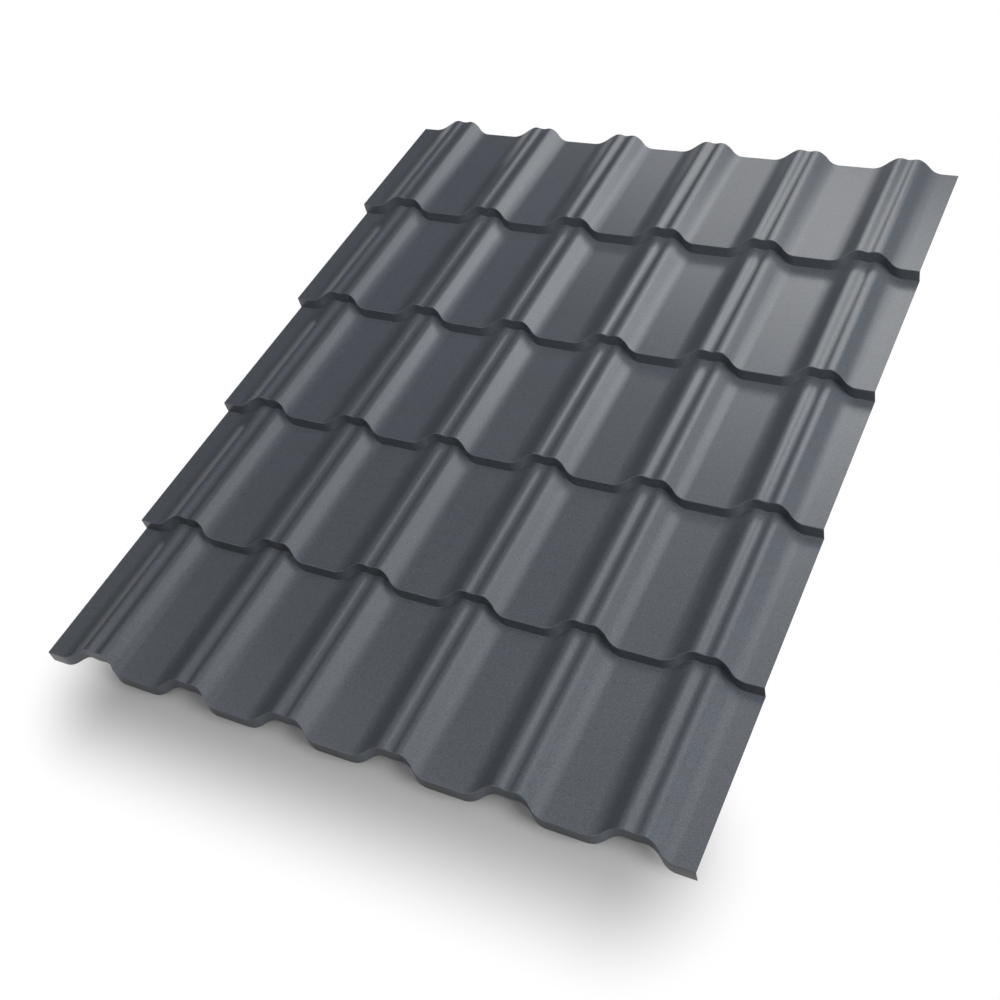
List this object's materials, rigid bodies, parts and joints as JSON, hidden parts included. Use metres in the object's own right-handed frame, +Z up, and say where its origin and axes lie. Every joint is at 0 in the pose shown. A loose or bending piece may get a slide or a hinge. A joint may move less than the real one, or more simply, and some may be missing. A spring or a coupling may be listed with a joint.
{
  "type": "metal roof tile sheet",
  "caption": "Pressed and coated steel roofing sheet with double-beaded waves across it and stepped tile rows along it.",
  "frame": {"origin": "centre of the sheet's plan, at the level of the feet of its steps", "axes": "X across the waves, +Y up the roof slope, +Z up out of the weather face"},
  "size_m": [1.185, 1.4918, 0.0374],
  "materials": {
    "coated_steel": "matte"
  },
  "bodies": {
    "root": {"roof_sheet": "coated_steel"}
  },
  "joints": []
}
